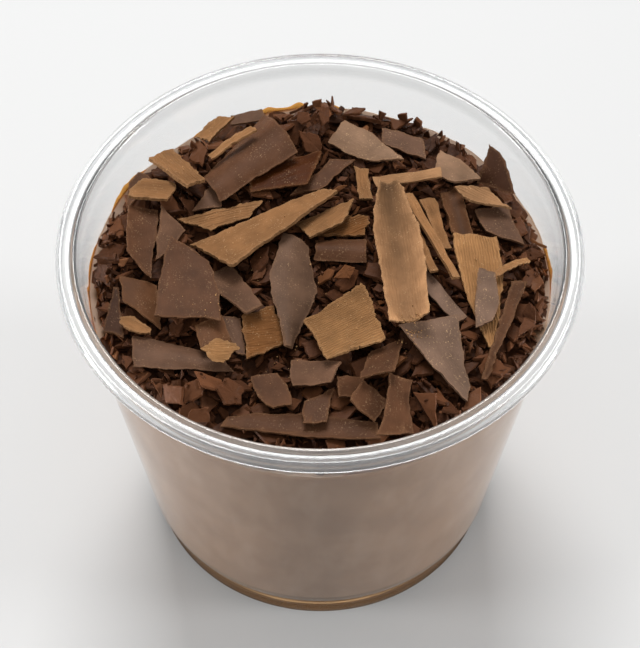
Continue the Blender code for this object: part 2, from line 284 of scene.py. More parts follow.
def cup_profile():
    """The shell's section: from the middle of its inside, over the lip, down to its underside."""
    floor = BASE_RECESS + FLOOR_THICKNESS
    top = CUP_HEIGHT
    heel = inner_radius(floor + HEEL_ROUND)
    points = [(0.0, floor), (heel * 0.5, floor)]
    points += arc((heel - HEEL_ROUND, floor + HEEL_ROUND), HEEL_ROUND, -90, 0, 6)
    points += [(inner_radius(z), z) for z in np.linspace(3.4, 58.2, 24)]

    groove = top - GROOVE_DEPTH
    points += arc((MOUTH_RADIUS, top - MOUTH_BEAD), MOUTH_BEAD, 175, 62, 7)
    points += [(GROOVE_START - 0.12, groove + 0.04), (GROOVE_START, groove)]
    points += [(GROOVE_END, groove), (GROOVE_END + 0.13, groove + 0.04)]
    points += arc((EDGE_RADIUS, top - EDGE_ROUND), EDGE_ROUND, 125, 0, 9)
    points += [(RIM_RADIUS, top - 1.1)]
    points += arc((RIM_RADIUS - TIP_ROUND, top - LIP_DROP + TIP_ROUND), TIP_ROUND, 0, -90, 4)
    points += arc((RIM_RADIUS - 0.38, top - LIP_DROP + 0.12), 0.12, -90, -180, 3)
    points += [(RIM_RADIUS - LIP_THICKNESS, top - 1.0)]
    points += arc((RIM_RADIUS - 0.85, top - 0.9), 0.33, 10, 90, 4)
    points += [(36.1, top - 0.6), (35.7, top - 0.62)]
    points += arc((35.75, top - 1.12), 0.5, 95, 175, 5)

    ledge = FOOT_TOP_RADIUS - FOOT_STEP
    points += [(outer_radius(z), z) for z in np.linspace(57.6, FOOT_HEIGHT + 0.3, 24)]
    points += arc((FOOT_TOP_RADIUS - 0.25, FOOT_HEIGHT + 0.2), LEDGE_ROUND, 0, -60, 4)
    points += [(ledge, FOOT_HEIGHT - FOOT_STEP), (ledge - 0.03, FOOT_HEIGHT - FOOT_STEP - 0.35)]
    points += [(BASE_RADIUS + 0.05, 0.9)]
    points += arc((BASE_RADIUS - BASE_ROUND, BASE_ROUND), BASE_ROUND, 0, -90, 5)
    ring = BASE_RADIUS - 0.4 - FOOT_RING
    points += [(ring, 0.0), (ring - BASE_RECESS, BASE_RECESS), (0.0, BASE_RECESS)]
    return points


def clear_plastic():
    """Thin polypropylene: clear, with a faint milky veil, and letting lamps through."""
    s = Shader("clear_plastic")
    where = s.place()
    height = s.add("ShaderNodeSeparateXYZ", {"Vector": where}).outputs["Z"]
    at_rim = s.stretch(height, (CUP_HEIGHT - 2.4) * MM, (CUP_HEIGHT - 1.4) * MM)
    ripple = s.bump(s.noise(where, 60.0, 2.0), 0.05, 0.05)
    clear = s.add("ShaderNodeBsdfPrincipled", {
        "Base Color": s.mix(at_rim, (0.99, 0.992, 0.992), (0.90, 0.905, 0.905)),
        "Roughness": s.stretch(at_rim, 0.0, 1.0, 0.07, 0.11), "IOR": 1.48,
        "Transmission Weight": 1.0, "Normal": ripple})
    veil = s.add("ShaderNodeBsdfPrincipled", {
        "Base Color": (0.36, 0.37, 0.37, 1.0), "Roughness": 0.3, "Sheen Weight": 0.5,
        "Sheen Roughness": 0.5, "Normal": ripple})

    # The veil is thin on the wall and thicker on the rim; along the ledge over the foot it is thicker
    # still in a narrow pale band, a painted highlight for the ledge's bright edge line.
    above_foot = s.stretch(height, FOOT_HEIGHT * MM, (FOOT_HEIGHT + 1.0) * MM)
    wall_share = s.math("MULTIPLY", s.stretch(at_rim, 0.0, 1.0, 0.022, 0.09), above_foot)
    ledge_highlight_start = s.stretch(height, (FOOT_HEIGHT + 0.15) * MM, (FOOT_HEIGHT + 0.3) * MM, 0.0, 0.30)
    ledge_highlight_end = s.stretch(height, (FOOT_HEIGHT + 0.4) * MM, (FOOT_HEIGHT + 0.65) * MM, 1.0, 0.0)
    share = s.math("ADD", wall_share, s.math("MULTIPLY", ledge_highlight_start, ledge_highlight_end))
    milky = s.add("ShaderNodeMixShader", {0: share, 1: clear.outputs[0], 2: veil.outputs[0]})

    # The narrow foot is tinted dark brown and loses most of its reflection: the band at the base comes
    # out darker.
    foot = s.stretch(height, FOOT_HEIGHT * MM, (FOOT_HEIGHT + 0.25) * MM, 0.75, 0.0)
    tinted = s.add("ShaderNodeBsdfTransparent", {"Color": (0.44, 0.28, 0.14, 1.0)})
    body = s.add("ShaderNodeMixShader", {0: foot, 1: milky.outputs[0], 2: tinted.outputs[0]})

    lamps = s.add("ShaderNodeBsdfTransparent", {"Color": (0.94, 0.945, 0.945, 1.0)})
    path = s.add("ShaderNodeLightPath").outputs
    unseen = s.math("ADD", path["Is Shadow Ray"], path["Is Diffuse Ray"], clamp=True)
    both = s.add("ShaderNodeMixShader", {0: unseen, 1: body.outputs[0], 2: lamps.outputs[0]})
    return s.finish(both.outputs[0])


def make_cup():
    points, faces = turned(cup_profile()[::-1])
    piece = add_piece("cup_shell", points, faces, clear_plastic())
    piece.data.set_sharp_from_angle(angle=math.radians(50))
    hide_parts("cup")


# ------------ the mousse

def mousse_material():
    """Smooth and fine-pored with painted shade in the pores, cloudy, with faint upright streaks and a
    deeper colour in the foot.
    """
    s = Shader("mousse")
    where = s.place()
    cloud = s.noise(where, 120.0, 4.0)
    streak = s.add("ShaderNodeMapping", {"Vector": where, "Scale": (1.0, 1.0, 0.35)}).outputs[0]
    streaks = s.noise(streak, 260.0, 3.0)
    bubbles = s.add("ShaderNodeTexVoronoi", {"Vector": where, "Scale": 2100.0})
    pore_depth_and_shade = s.stretch(bubbles.outputs["Distance"], 0.12, 0.30)
    colour = s.mix(s.stretch(cloud, 0.35, 0.65), (0.192, 0.100, 0.046), (0.238, 0.131, 0.067))
    colour = s.mix(s.stretch(streaks, 0.45, 0.75, 0.0, 0.30), colour, (0.42, 0.29, 0.20))
    # Painted shade: darker in the pores.
    colour = s.mix(s.stretch(pore_depth_and_shade, 0.0, 1.0, 0.35, 0.0), colour, (0.15, 0.080, 0.045))
    height = s.add("ShaderNodeSeparateXYZ", {"Vector": where}).outputs["Z"]
    foot = s.stretch(height, (FOOT_HEIGHT + 0.9) * MM, (FOOT_HEIGHT + 1.3) * MM, 0.95, 0.0)
    colour = s.mix(foot, colour, (0.14, 0.072, 0.028))
    surface = s.add("ShaderNodeBsdfPrincipled", {
        "Base Color": colour, "Roughness": 0.55, "Sheen Weight": 1.0, "Sheen Roughness": 0.34,
        "Sheen Tint": (1.0, 0.93, 0.86, 1.0), "Normal": s.bump(pore_depth_and_shade, 0.06, 0.15)})
    return s.finish(surface.outputs[0])


def make_mousse():
    """The mousse reaches just into the wall, and creeps a little up it above its level."""
    floor = BASE_RECESS + FLOOR_THICKNESS - MOUSSE_INTO_WALL
    profile = [(0.0, floor), (24.0, floor)]
    top = MOUSSE_LEVEL + MOUSSE_CREEP
    profile += [(inner_radius(z) + MOUSSE_INTO_WALL, z) for z in np.linspace(floor + 0.7, top, 40)]
    edge = inner_radius(top) + MOUSSE_INTO_WALL
    profile += [(edge - 0.35, top), (edge - 0.9, MOUSSE_LEVEL + 0.3)]
    profile += [(edge - 2.2, MOUSSE_LEVEL), (0.0, MOUSSE_LEVEL)]
    points, faces = turned(profile)
    creep = np.clip((points[:, 2] - MOUSSE_LEVEL) / MOUSSE_CREEP, 0.0, 1.0)
    points[:, 2] += creep * 0.4 * layered(points * (1, 1, 0), 5.0, 3, 5)
    piece = add_piece("mousse_fill", points, faces, mousse_material())
    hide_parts("mousse")


def smear_material():
    """Cocoa butter and mousse wiped thin on the wall: amber where light comes through."""
    s = Shader("wall_smear")
    fade = s.attribute("fade")
    where = s.place()
    patchy = s.math("MULTIPLY", fade, s.stretch(s.noise(where, 420.0, 4.0), 0.3, 0.6, 0.45, 1.0))
    colour = s.mix(fade, (0.27, 0.12, 0.035), (0.12, 0.042, 0.012))
    film = s.add("ShaderNodeBsdfPrincipled", {"Base Color": colour, "Roughness": 0.35})
    through = s.add("ShaderNodeBsdfTransparent", {"Color": (0.90, 0.62, 0.30, 1.0)})
    both = s.add("ShaderNodeMixShader", {0: patchy, 1: through.outputs[0], 2: film.outputs[0]})
    return s.finish(both.outputs[0])


# Middle angle, half-width in degrees, and height above the mousse of each smear.
SMEARS = (
    (182.0, 15.0, 1.7), (150.0, 9.0, 1.6), (202.0, 9.0, 1.5), (96.0, 14.0, 1.5),
    (118.0, 8.0, 1.3), (2.0, 9.0, 1.5), (-76.0, 9.0, 2.0),
)


def make_smears():
    """Thin films on the inside of the wall, each with a ragged, rounded upper outline."""
    points, faces, fade = [], [], []
    rows = 8
    for number, (middle, spread, height) in enumerate(SMEARS):
        columns = int(spread * 4)
        base = len(points)
        for i in range(columns + 1):
            share = 2.0 * i / columns - 1.0
            angle = math.radians(middle + spread * share)
            place = [[math.cos(angle) * 33.0, math.sin(angle) * 33.0, number]]
            ragged = noise_at(np.array(place), 1.6, 9)[0]
            top = (height + 0.8 * ragged) * math.sqrt(max(0.0, 1.0 - share * share))
            for j in range(rows + 1):
                z = MOUSSE_LEVEL - 0.3 + (top + 0.3) * j / rows
                radius = inner_radius(z) - 0.06
                points.append((radius * math.cos(angle), radius * math.sin(angle), z))
                fade.append(1.0 - j / rows)
        for i in range(columns):
            for j in range(rows):
                a = base + i * (rows + 1) + j
                faces.append((a, a + 1, a + rows + 2, a + rows + 1))
    piece = add_piece("wall_smear", points, faces, smear_material())
    solid = piece.modifiers.new("film", "SOLIDIFY")
    solid.thickness = 0.05 * MM
    solid.offset = 0.0
    add_attribute(piece, "fade", fade)


# ------------ chocolate

# The greyish slate, grey and bloom tones are partly the bloomed chocolate's own colour and partly
# painted sheen, the soft grey reflection on the smooth faces.
PALETTE = {
    "dark": (0.043, 0.017, 0.008),
    "brown": (0.086, 0.037, 0.018),
    "warm": (0.110, 0.046, 0.020),
    "slate": (0.114, 0.058, 0.034),
    "pale": (0.258, 0.149, 0.088),
    "grey": (0.190, 0.115, 0.078),
    "bloom_and_sheen": (0.155, 0.085, 0.052),
    "sand": (0.325, 0.170, 0.080),
    "straw": (0.435, 0.228, 0.108),
    "tan": (0.252, 0.120, 0.049),
    "gold": (0.330, 0.162, 0.064),
    "rust": (0.178, 0.073, 0.024),
    "umber": (0.060, 0.016, 0.003),
}

# Each slot's usual colour, and the shavings that differ from it.
SLOT_COLOUR = {
    "chocolate_dark": "dark", "chocolate_smooth": "brown", "chocolate_grey": "grey",
    "chocolate_tan": "tan", "chocolate_rust": "rust",
}
OWN_COLOUR = {
    "pale_plate": "pale", "pale_wedge": "pale", "pale_bar": "sand", "wide_plate": "straw",
    "curled_tan": "sand", "right_slate": "slate", "left_wedge": "slate", "grey_strip": "slate",
    "mid_slab": "slate", "chip_back_left": "slate", "back_plate": "slate", "spoon_plate": "slate",
    "low_trough": "slate", "plate_left_inner": "slate", "tan_end": "gold", "ridged_plate": "gold",
    "ribbed_square": "gold", "brown_lump": "warm", "brown_leaf": "warm", "channel": "warm",
    "tall_stick": "brown", "kite": "bloom_and_sheen", "striated_plate": "umber",
}
# Shavings that are refined into a finer mesh.
LARGE = (
    "wide_plate", "ribbed_square", "long_wedge", "kite", "grey_triangle", "ridged_plate",
    "big_roll", "large_slab", "tan_block", "pale_wedge", "tall_stick",
)
# How deep the scraped ridges are, in millimetres, how far apart, and how dark the painted shade between
# them is, which also sets how strongly their relief shows.
RIDGES = {
    "ribbed_square": (0.045, 0.5, 0.7), "ridged_plate": (0.04, 0.5, 0.45),
    "striated_plate": (0.05, 0.55, 0.4), "rust_ridges": (0.05, 0.55, 0.40),
    "tan_block": (0.05, 0.55, 0.25), "tan_blade": (0.04, 0.5, 0.25),
    "upright_tan": (0.04, 0.5, 0.25), "wide_plate": (0.015, 0.6, 0.12),
    "long_wedge": (0.02, 0.6, 0.06), "tan_chip": (0.04, 0.5, 0.06), "tan_bark": (0.06, 0.6, 0.15),
    "rust_square": (0.04, 0.5, 0.15), "crumbly_tan": (0.012, 1.2, 0.15),
    "curled_tan": (0.012, 1.2, 0.2),
}
PLAIN_RIDGES = (0.012, 1.2, 0.06)
# The share of each shaving's thickness that is left out of its look.
THINNED = 0.6
THINNED_MORE = {"kite": 0.8, "grey_triangle": 0.7, "large_slab": 0.7}
# Shavings whose long edges are curled up, or down, more than the solid's, in millimetres.
CURLED = {
    "wide_plate": 1.5, "kite": -0.2, "ridged_plate": 0.35, "large_slab": 0.5, "long_wedge": -0.3,
    "grey_triangle": 0.3, "pale_wedge": -0.4, "ribbed_square": -0.4, "plate_left": 0.4,
    "big_roll": -0.5, "front_plate": 0.3, "low_trough": 0.4, "tan_block": -0.3,
}
# Painted shade in a band along the middle of a shaving, as in a hollow, or painted light there where
# the value is negative.
PAINTED_MIDDLE_SHADE = {"wide_plate": 0.32, "channel": 0.3, "stick_two": 0.2, "tall_stick": -0.2}
# Painted shade: shavings that darken towards one side, where less light falls: the heading of that
# side, in degrees, and by how much.
SHADED = {
    "wide_plate": (75.0, 0.58), "kite": (-20.0, 0.5), "ribbed_square": (120.0, 0.42),
    "long_wedge": (-60.0, 0.15), "tall_stick": (0.0, 0.35), "pale_plate": (-80.0, 0.2),
    "grey_triangle": (-70.0, 0.2), "ridged_plate": (-60.0, 0.2), "large_slab": (100.0, 0.15),
    "tan_block": (-90.0, 0.25), "curled_tan": (180.0, 0.25), "pale_wedge": (-60.0, 0.2),
}
# Direction of the grain, in degrees, where it isn't along the piece.
GRAIN = {"ribbed_square": 38.0, "rust_square": 15.0, "tan_chip": -10.0, "right_slate": -8.0}
# Dry shavings with fewer streaks.
SMOOTHER = ("wide_plate", "pale_bar", "curled_tan", "long_wedge")
# Specular level of dry, crumbly faces and of smooth ones: dull, as bloomed chocolate is.
DRY_SPECULAR = 0.04
SMOOTH_SPECULAR = 0.055
# Edges sharper than these angles start the broken rim, and stay sharp in the fine mesh.
RIM_ANGLE = math.radians(48)
SHARP_ANGLE = math.radians(38)


def chocolate(name, colour, edge, grain, rib_relief_and_shade, dust, roughness):
    """A cut face with streaks along the grain, dusty specks, and a rougher, paler broken edge."""
    s = Shader(name)
    strip = s.attribute("strip", "Vector")
    rim = s.attribute("rim")
    shade = s.attribute("shade")
    along = s.add("ShaderNodeMapping", {"Vector": strip, "Scale": (0.13, 1.0, 1.0)}).outputs[0]
    streak = s.noise(along, 1.1, 2.0, 0.5)
    fine = s.stretch(s.noise(along, 3.2, 2.0, 0.6), 0.40, 0.62)
    ribs = s.add("ShaderNodeTexWave", {
        "Vector": strip, "Scale": 0.78, "Distortion": 3.2, "Detail": 3.0, "Detail Scale": 0.8},
        bands_direction="Y").outputs["Fac"]
    patch = s.stretch(s.noise(strip, 0.45, 2.0), 0.42, 0.62)
    cloud = s.noise(strip, 0.28, 3.0)
    grit = s.noise(strip, 5.5, 4.0, 0.7)
    speck = s.math("MULTIPLY", s.stretch(s.noise(strip, 4.2, 2.0, 0.6), 0.60, 0.70, 0.0, dust), patch)
    bright, pale = scaled_colour(colour, 1.22), scaled_colour(colour, 1.25)
    face = s.mix(s.stretch(cloud, 0.3, 0.7), scaled_colour(colour, 0.74), bright)
    face = s.mix(s.stretch(streak, 0.40, 0.68, 0.0, grain * 0.4), face, pale)
    face = s.mix(s.stretch(fine, 0.6, 0.0, 0.0, grain * 0.35), face, scaled_colour(colour, 0.50))
    # Painted shade: darker in the grooves between the ribs.
    face = s.mix(s.stretch(ribs, 0.55, 0.0, 0.0, rib_relief_and_shade * 0.6), face, scaled_colour(colour, 0.45))
    # Painted shade: darker towards one side, along the middle, on the underside and, on dry pieces, on
    # the walls.
    face = s.mix(s.math("SUBTRACT", 1.0, shade, True), face, scaled_colour(colour, 0.12))
    edged = s.mix(s.math("MULTIPLY", rim, s.stretch(grit, 0.3, 0.6)), face, edge)
    dusted = s.mix(speck, edged, (0.58, 0.37, 0.20))
    lines = s.math("MULTIPLY", fine, 0.6 * grain)
    relief = s.math("ADD", lines, s.math("MULTIPLY", ribs, 1.2 * rib_relief_and_shade))
    rough = s.math("ADD", relief, s.math("MULTIPLY", grit, s.stretch(rim, 0.0, 1.0, 0.22, 1.0)))
    surface = s.add("ShaderNodeBsdfPrincipled", {
        "Base Color": dusted,
        "Roughness": s.stretch(grit, 0.2, 0.8, roughness - 0.08, roughness + 0.12),
        "Specular IOR Level": DRY_SPECULAR if grain > 0.2 else SMOOTH_SPECULAR,
        "Normal": s.bump(rough, 0.14, 0.9)})
    return s.finish(surface.outputs[0])


def shaving_material(name, colour_name):
    """Dry tan and rust faces are streaked; the others are smooth, with dust on the grey ones."""
    colour = PALETTE[colour_name]
    dice = random.Random("colour " + name)
    colour = scaled_colour(colour, dice.uniform(0.93, 1.08))
    dry = colour_name in ("tan", "gold", "sand", "straw", "rust")
    if dry:
        edge = tuple(0.75 * c + 0.25 * e for c, e in zip(colour, (0.50, 0.30, 0.15)))
        grain = 0.35 if name in SMOOTHER else 0.7
        rib_relief_and_shade = RIDGES.get(name, PLAIN_RIDGES)[2]
        return chocolate("choc_" + name, colour, edge, grain, rib_relief_and_shade, 0.55, 0.62)
    edge = tuple(0.65 * c + 0.35 * e for c, e in zip(colour, (0.30, 0.15, 0.07)))
    dust = 0.8 if colour_name in ("grey", "pale") else 0.35
    return chocolate("choc_" + name, colour, edge, 0.14, 0.0, dust, 0.46)


def long_axis(points, name):
    """The grain's direction, in plan."""
    if name in GRAIN:
        angle = math.radians(GRAIN[name])
        return np.array([math.cos(angle), math.sin(angle), 0.0])
    centred = points - points.mean(axis=0)
    return np.linalg.svd(centred, full_matrices=False)[2][0]


def top_faces(bm, rim_edges):
    """The faces of the upper side: one patch inside the rim, the one that looks up the most."""
    walls = set(rim_edges)
    left = set(bm.faces)
    best, most = [], -1e9
    for start in bm.faces:
        if start not in left:
            continue
        left.discard(start)
        patch = [start]
        for face in patch:
            for edge in face.edges:
                if edge in walls:
                    continue
                for other in edge.link_faces:
                    if other in left:
                        left.discard(other)
                        patch.append(other)
        looks_up = sum(face.normal.z * face.calc_area() for face in patch)
        if looks_up > most:
            best, most = patch, looks_up
    return best


def subdivided(name):
    """The CAD shaving with smooth faces inside a creased rim.

    Gives the fine points, normals and faces, which points are on the upper side, the coarse
    points, and the ends of the rim's edges.
    """
    bm = bmesh.new()
    bm.from_mesh(frame["nodes"][name].data)
    bmesh.ops.remove_doubles(bm, verts=bm.verts, dist=1e-6)
    bmesh.ops.join_triangles(
        bm, faces=bm.faces, angle_face_threshold=math.radians(40), angle_shape_threshold=math.pi)
    crease = bm.edges.layers.float.new("crease_edge")
    corner = bm.verts.layers.float.new("crease_vert")
    rim_edges = [
        e for e in bm.edges if len(e.link_faces) == 2 and e.calc_face_angle(0.0) > RIM_ANGLE]
    for edge in rim_edges:
        edge[crease] = 1.0
        for vert in edge.verts:
            vert[corner] = 1.0
    rim = np.array([[(v.co / MM)[:] for v in edge.verts] for edge in rim_edges])
    upper = bm.faces.layers.int.new("upper")
    for face in top_faces(bm, rim_edges):
        face[upper] = 1
    coarse = np.array([v.co[:] for v in bm.verts]) / MM
    mesh = bpy.data.meshes.new(name)
    bm.to_mesh(mesh)
    bm.free()
    rough = bpy.data.objects.new(name, mesh)
    bpy.context.scene.collection.objects.link(rough)
    subdivide = rough.modifiers.new("subdivide", "SUBSURF")
    subdivide.levels = 4 if name in LARGE else 3
    subdivide.render_levels = subdivide.levels
    depsgraph = bpy.context.evaluated_depsgraph_get()
    fine = bpy.data.meshes.new_from_object(rough.evaluated_get(depsgraph))
    bpy.data.objects.remove(rough)

    count = len(fine.vertices)
    points = np.zeros(count * 3)
    normals = np.zeros(count * 3)
    fine.vertices.foreach_get("co", points)
    fine.vertices.foreach_get("normal", normals)
    faces = [tuple(p.vertices) for p in fine.polygons]
    is_upper = np.zeros(len(faces), np.int32)
    fine.attributes["upper"].data.foreach_get("value", is_upper)
    on_top = np.zeros(count, bool)
    for face, top in zip(faces, is_upper):
        if top:
            on_top[list(face)] = True
    bpy.data.meshes.remove(fine)
    return points.reshape(-1, 3) / MM, normals.reshape(-1, 3), faces, on_top, coarse, rim


def thin(points, on_top, share):
    """Lifts the underside towards the upper side: the solid is thicker than a real shaving."""
    below = np.flatnonzero(~on_top)
    tops = points[on_top]
    lift = np.zeros((len(below), 3))
    for start in range(0, len(below), 256):
        some = points[below[start:start + 256]]
        nearest = ((some[:, None, :] - tops[None, :, :]) ** 2).sum(axis=2).argmin(axis=1)
        lift[start:start + 256] = tops[nearest] - some
    points[below] += share * lift


def reach_to(rim, points):
    """How far each point is from the broken rim."""
    steps = np.linspace(0.0, 1.0, 12)[:, None, None]
    line = (rim[:, 0] * (1 - steps) + rim[:, 1] * steps).reshape(-1, 3)
    reach = np.full(len(points), 1e9)
    for start in range(0, len(line), 128):
        gap = points[:, None, :] - line[None, start:start + 128, :]
        reach = np.minimum(reach, np.sqrt((gap ** 2).sum(axis=2)).min(axis=1))
    return reach


def shading(name, points, normals, strip, side, up, dry):
    """How light each point is, as painted shade: one side, the hollow, the underside and the walls are
    darker.
    """
    heading, amount = SHADED.get(name, (0.0, 0.0))
    angle = math.radians(heading)
    toward = points @ [math.cos(angle), math.sin(angle), 0.0]
    toward = (toward - toward.min()) / (toward.max() - toward.min())
    shade = 1.0 - amount * toward ** 1.3 - 0.35 * np.clip(-(normals @ up), 0.0, 1.0)
    across = strip[:, 1] / np.abs(strip[:, 1]).max()
    # Painted shade along the middle band, or painted light where the value is negative.
    shade -= PAINTED_MIDDLE_SHADE.get(name, 0.0) * np.exp(-((across - 0.1) / 0.4) ** 2)
    return shade - 0.35 * side if dry else shade


def refine(name):
    """The CAD shaving again, thinner, with broken edges and scraped ridges."""
    points, normals, faces, on_top, coarse, rim = subdivided(name)
    thin(points, on_top, THINNED_MORE.get(name, THINNED))
    reach = reach_to(rim, points)
    near = np.clip(1.0 - reach / 1.1, 0.0, 1.0)

    # Axes of the piece: along the grain, across it, and through it.
    along = long_axis(coarse, name)
    through = np.linalg.svd(coarse - coarse.mean(axis=0), full_matrices=False)[2][2]
    across = np.cross(through, along)
    across /= np.linalg.norm(across)
    along = np.cross(across, through)
    middle = coarse.mean(axis=0)
    offset = np.array([random.Random(name).uniform(0.0, 90.0), 0.0, 0.0])
    strip = np.stack([(points - middle) @ axis for axis in (along, across, through)], axis=1)
    strip += offset

    # The outline is bent and chipped in its own plane; the faces get ridges and lumps.
    seed = sum(ord(c) for c in name)
    plan = strip * (1, 1, 0)
    slot = SLOTS[name]
    dry = slot in ("chocolate_tan", "chocolate_rust")
    for axis, shift in ((along, 0), (across, 40)):
        bend = 0.20 * noise_at(plan, 2.8, seed + shift)
        bend += (0.20 if dry else 0.12) * noise_at(plan, 0.9, seed + shift + 1)
        bend += (0.12 if dry else 0.06) * noise_at(plan, 0.35, seed + shift + 2)
        points += (near * bend)[:, None] * axis
    depth, spacing, _ = RIDGES.get(name, PLAIN_RIDGES)
    lines = flat_points(strip[:, 1], 0.10 * strip[:, 0])
    push = depth * layered(lines, spacing, 2, seed + 3)
    push += 0.02 * noise_at(strip, 1.5, seed + 4)
    push += near * (0.08 if dry else 0.04) * noise_at(strip, 0.42, seed + 5)
    points += push[:, None] * normals
    up = through if through[2] > 0 else -through
    if name in CURLED:
        sideways = strip[:, 1] / np.abs(strip[:, 1]).max()
        points += (CURLED[name] * sideways ** 2)[:, None] * up

    material = shaving_material(name, OWN_COLOUR.get(name, SLOT_COLOUR[slot]))
    piece = add_piece("shaving_" + name, points, faces, material)
    piece.data.set_sharp_from_angle(angle=SHARP_ANGLE)
    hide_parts(name)
    edge_share = np.clip(1.0 - reach / (0.45 if dry else 0.3), 0.0, 1.0)
    side = np.clip((0.75 - np.abs(normals @ through)) * 2.0, 0.0, 1.0)
    add_attribute(piece, "rim", np.maximum(edge_share, 0.55 * side))
    add_attribute(piece, "shade", shading(name, points, normals, strip, side, up, dry))
    add_attribute(piece, "strip", strip)
    return points


# ------------ small chips

def chip_template(dice, corners, per_edge, aspect, thick, jag, bend):
    """Points and triangles of a broken flake, about 1 long, lying flat."""
    angles = [math.tau * (k + dice.uniform(-0.28, 0.28)) / corners for k in range(corners)]
    radii = [0.5 * dice.uniform(0.72, 1.12) for _ in angles]
    tips = [(r * math.cos(a), r * math.sin(a) / aspect) for r, a in zip(radii, angles)]
    outline = []
    for (x0, y0), (x1, y1) in zip(tips, tips[1:] + tips[:1]):
        for k in range(per_edge):
            share = k / per_edge
            wobble = jag if k else jag * 0.3
            outline.append((
                x0 + (x1 - x0) * share + dice.uniform(-wobble, wobble),
                y0 + (y1 - y0) * share + dice.uniform(-wobble, wobble) / aspect))
    count = len(outline)
    points = []
    for height, shrink in ((0.5, 0.9), (dice.uniform(-0.2, 0.2), 1.0), (-0.5, 0.92)):
        for x, y in outline:
            z = thick * (height + dice.uniform(-0.08, 0.08))
            points.append((x * shrink, y * shrink, z + bend * (2 * x) ** 2))
    points += [(0.0, 0.0, thick * 0.56), (0.0, 0.0, -thick * 0.5)]
    faces = []
    for ring in (0, count):
        for k in range(count):
            n = (k + 1) % count
            a, b, c, d = ring + k, ring + n, ring + count + n, ring + count + k
            faces += [(a, c, b), (a, d, c)]
    for k in range(count):
        n = (k + 1) % count
        faces += [(3 * count, k, n), (3 * count + 1, 2 * count + n, 2 * count + k)]
    return np.array(points), np.array(faces)


def turn_matrix(yaw, slope):
    """Rotation that turns by yaw and then lays the chip's face on the given slope."""
    up = np.array([-slope[0], -slope[1], 1.0])
    up /= np.linalg.norm(up)
    ahead = np.array([math.cos(yaw), math.sin(yaw), 0.0])
    ahead -= up * (ahead @ up)
    ahead /= np.linalg.norm(ahead)
    return np.stack([ahead, np.cross(up, ahead), up], axis=1)


class Heap:
    """Chips of one kind joined into one mesh."""

    def __init__(self, name):
        self.name = name
        self.points, self.faces, self.tones = [], [], []
        self.count = 0

    def put(self, template, scale, rotation, place, tone):
        """Adds a chip; tone runs from 0, almost black, to 1, reddish brown."""
        points, faces = template
        self.points.append((points * scale) @ rotation.T + place)
        self.faces.append(faces + self.count)
        self.tones.append(np.full(len(points), tone))
        self.count += len(points)

    def build(self, material, slot):
        points = np.concatenate(self.points)
        faces = np.concatenate(self.faces)
        piece = add_piece(self.name, points, faces.tolist(), material, smooth=False)
        add_attribute(piece, "tone", np.concatenate(self.tones))


def chip_material(name, deep, light, rusty):
    """Small chips: from the deep to the light colour by each chip's tone, and a few rusty."""
    s = Shader(name)
    where = s.place()
    tone = s.attribute("tone")
    grit = s.noise(where, 1900.0, 3.0, 0.65)
    lump = s.noise(where, 700.0, 2.0)
    colour = s.mix(s.stretch(tone, 0.0, 0.8), deep, light)
    colour = s.mix(s.stretch(tone, 0.8, 1.0), colour, rusty)
    colour = s.mix(s.stretch(grit, 0.35, 0.7, 0.0, 0.35), colour, light)
    surface = s.add("ShaderNodeBsdfPrincipled", {
        "Base Color": colour, "Roughness": s.stretch(lump, 0.3, 0.7, 0.42, 0.62),
        "Specular IOR Level": 0.07,
        "Normal": s.bump(s.math("ADD", grit, s.math("MULTIPLY", lump, 1.5)), 0.12, 0.7)})
    return s.finish(surface.outputs[0])


def core_height(x, y):
    """The top of the heap's inside, which is lumpy and falls off at the wall."""
    lumps = layered(flat_points(x, y), 2.4, 3, 21)
    edge = (np.hypot(x, y) / 34.0) ** 6
    return CORE_TOP + CORE_LUMPS * lumps - CORE_EDGE_DROP * edge


def make_core(material):
    """The heap's inside: a rough disc, hidden almost everywhere by the chips on it."""
    rings, spokes = 110, 240
    reach = inner_radius(MOUSSE_LEVEL) - 0.25
    points, faces = [], []
    for i in range(rings + 1):
        radius = reach * i / rings
        for k in range(spokes if i else 1):
            angle = math.tau * k / spokes
            points.append((radius * math.cos(angle), radius * math.sin(angle)))
    plan = np.array(points)
    top = np.column_stack([plan, core_height(plan[:, 0], plan[:, 1])])
    for k in range(spokes):
        faces.append((0, 1 + k, 1 + (k + 1) % spokes))
    for i in range(1, rings):
        a, b = 1 + (i - 1) * spokes, 1 + i * spokes
        for k in range(spokes):
            n = (k + 1) % spokes
            faces.append((a + k, b + k, b + n, a + n))
    outer = 1 + (rings - 1) * spokes
    skirt = top[outer:].copy()
    skirt[:, 2] = MOUSSE_LEVEL - 0.4
    base = len(top)
    for k in range(spokes):
        n = (k + 1) % spokes
        faces.append((outer + k, base + k, base + n, outer + n))
    faces.append(tuple(base + k for k in reversed(range(spokes))))
    piece = add_piece("chip_core", np.vstack([top, skirt]), faces, material)
    add_attribute(piece, "tone", np.full(len(top) + len(skirt), 0.1))
    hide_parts("chip_bed")


def wanted_level(x, y):
    """How high the small chips are heaped: lower at the wall, and lowest at the back."""
    level = HEAP_LEVEL + HEAP_LUMPS * layered(flat_points(x, y), 6.0, 2, 33)
    near_wall = np.clip((np.hypot(x, y) - 25.0) / 7.5, 0.0, 1.0)
    backward = np.clip(y / 26.0, 0.0, 1.0)
    return level - (1.2 + 2.1 * backward) * near_wall


# Beside the shavings the small chips lie lower: how far out, in cells, and how much lower.
GAP_REACH = 5
GAP_DEPTH = 1.0


